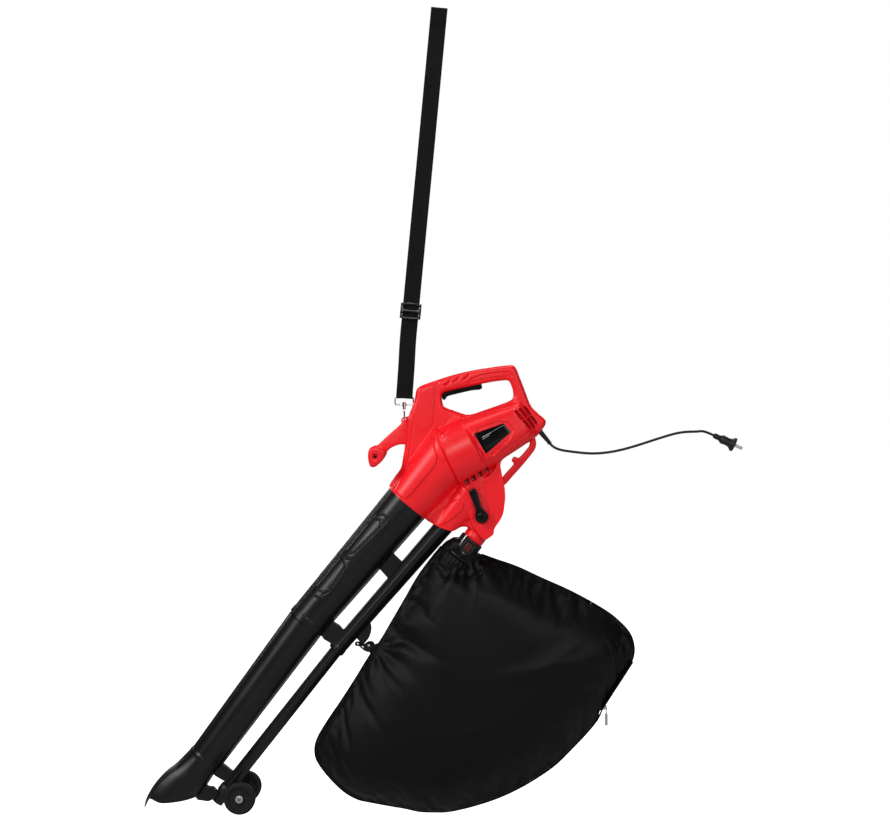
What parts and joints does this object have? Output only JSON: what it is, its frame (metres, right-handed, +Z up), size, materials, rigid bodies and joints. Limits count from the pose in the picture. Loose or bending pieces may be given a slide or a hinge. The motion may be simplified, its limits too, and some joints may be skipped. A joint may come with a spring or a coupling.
{
  "type": "leaf vacuum mulcher",
  "caption": "Hand-held electric leaf vacuum mulcher with suction and blow tubes, nozzle wheels, fabric bag, shoulder strap and mains lead.",
  "frame": {"origin": "ground point half way between the two nozzle wheels, straight below their axle", "axes": "+Z up, +X from the nozzle towards the rear handle, +Y towards the machine's right side"},
  "size_m": [1.222, 0.134, 1.6471],
  "materials": {
    "red_plastic": "satin moulded",
    "black_plastic": "satin moulded",
    "dark_plastic": "moulded",
    "wheel_black": "textured",
    "bag_fabric": "woven polyester",
    "webbing": "woven webbing",
    "zip_tape": "zip tape",
    "chrome": "plated",
    "steel": "zinc plated",
    "brass": "bright",
    "nickel": "plated",
    "copper": "enamelled copper wire",
    "steel_core": "laminated steel",
    "carbon": "graphite",
    "label_black": "gloss",
    "rubber": "flexible cable sheath",
    "fan_plastic": "glass-filled nylon"
  },
  "bodies": {
    "machine": {"housing_left": "red_plastic", "housing_right": "red_plastic", "housing_screws": "steel", "name_plate": "label_black", "front_handle": "red_plastic", "front_handle_screw": "steel", "trigger_spring": "steel", "switch_body": "dark_plastic", "power_cord": "rubber", "cord_sleeve": "rubber", "cord_clamp": "dark_plastic", "plug_body": "rubber", "plug_pins": "nickel", "fan_back_plate": "fan_plastic", "inlet_ring": "fan_plastic", "brush_holders": "brass", "carbon_brushes": "carbon", "front_bearing": "steel", "rear_bearing": "steel", "stator_core": "steel_core", "stator_windings": "copper", "upper_suction_tube": "black_plastic", "lower_suction_tube": "black_plastic", "upper_blow_tube": "black_plastic", "lower_blow_tube": "black_plastic", "tube_screws": "steel", "wheel_bracket": "black_plastic", "wheel_axle": "steel", "axle_caps": "nickel"},
    "rotor": {"motor_shaft": "steel", "impeller": "fan_plastic", "impeller_nut": "steel", "shredder_blade": "steel", "armature_core": "steel_core", "armature_windings": "copper", "commutator": "brass"},
    "wheel_left_body": {"wheel_left": "wheel_black"},
    "wheel_right_body": {"wheel_right": "wheel_black"},
    "trigger_body": {"trigger": "black_plastic"},
    "plunger_body": {"switch_plunger": "dark_plastic"},
    "mode_selector": {"mode_lever": "black_plastic", "lever_shaft": "dark_plastic", "air_flap": "dark_plastic", "lever_screw": "steel"},
    "snap_hook": {"hook_body": "chrome"},
    "hook_gate_body": {"hook_gate": "chrome"},
    "strap": {"strap_ring": "chrome", "strap_webbing": "webbing"},
    "buckle": {"strap_buckle": "black_plastic"},
    "bag_unit": {"bag": "bag_fabric", "bag_collar": "black_plastic", "latch_spring": "steel", "bag_hook": "black_plastic", "zip_tape": "zip_tape"},
    "latch_button": {"bag_latch": "red_plastic"},
    "zip_slider_body": {"zip_slider": "nickel"},
    "zip_pull_body": {"zip_puller": "nickel"}
  },
  "joints": [
    {"name": "impeller_spin", "type": "hinge", "parent": "machine", "child": "rotor", "pos_m": [0.452, 0, 0.731], "axis": [0.891, 0, 0.454], "continuous": true},
    {"name": "wheel_left_spin", "type": "hinge", "parent": "machine", "child": "wheel_left_body", "pos_m": [0, -0.053, 0.0318], "axis": [0, 1, 0], "continuous": true},
    {"name": "wheel_right_spin", "type": "hinge", "parent": "machine", "child": "wheel_right_body", "pos_m": [0, 0.053, 0.0318], "axis": [0, 1, 0], "continuous": true},
    {"name": "trigger_pull", "type": "hinge", "parent": "machine", "child": "trigger_body", "pos_m": [0.42, 0, 0.857], "axis": [0, -1, 0], "range_deg": [0, 5.5], "deforming": ["trigger_spring"]},
    {"name": "plunger_press", "type": "slide", "parent": "machine", "child": "plunger_body", "axis": [0, 0, 1], "range_m": [0, 0.0066]},
    {"name": "mode_select", "type": "hinge", "parent": "machine", "child": "mode_selector", "pos_m": [0.4883, 0, 0.599], "axis": [0, -1, 0], "range_deg": [0, 47]},
    {"name": "hook_swing", "type": "hinge", "parent": "machine", "child": "snap_hook", "pos_m": [0.331, 0, 0.794], "axis": [0, -1, 0], "range_deg": [-2, 60]},
    {"name": "hook_gate_open", "type": "hinge", "parent": "snap_hook", "child": "hook_gate_body", "pos_m": [0.3305, -0.008, 0.814], "axis": [1, 0, 0], "range_deg": [0, 20]},
    {"name": "hook_swivel", "type": "hinge", "parent": "snap_hook", "child": "strap", "pos_m": [0.3305, 0, 0.826], "axis": [0, 0, 1], "range_deg": [-90, 90]},
    {"name": "buckle_slide", "type": "slide", "parent": "strap", "child": "buckle", "axis": [0.094, 0, 0.9956], "range_m": [-0.03, 0.25]},
    {"name": "bag_release", "type": "slide", "parent": "machine", "child": "bag_unit", "axis": [-0.6225, 0, -0.7826], "range_m": [0, 0.08]},
    {"name": "latch_press", "type": "slide", "parent": "bag_unit", "child": "latch_button", "axis": [0, 1, 0], "range_m": [0, 0.003]},
    {"name": "zip_slide", "type": "slide", "parent": "bag_unit", "child": "zip_slider_body", "axis": [0.5446, 0, 0.8387], "range_m": [0, 0.095]},
    {"name": "zip_pull_swing", "type": "hinge", "parent": "zip_slider_body", "child": "zip_pull_body", "pos_m": [0.74458, 0, 0.20342], "axis": [0, 1, 0], "range_deg": [-60, 12]}
  ],
  "couplings": [
    {"joint": "plunger_press", "follows": "trigger_pull", "m_per_rad": 0.0655}
  ]
}
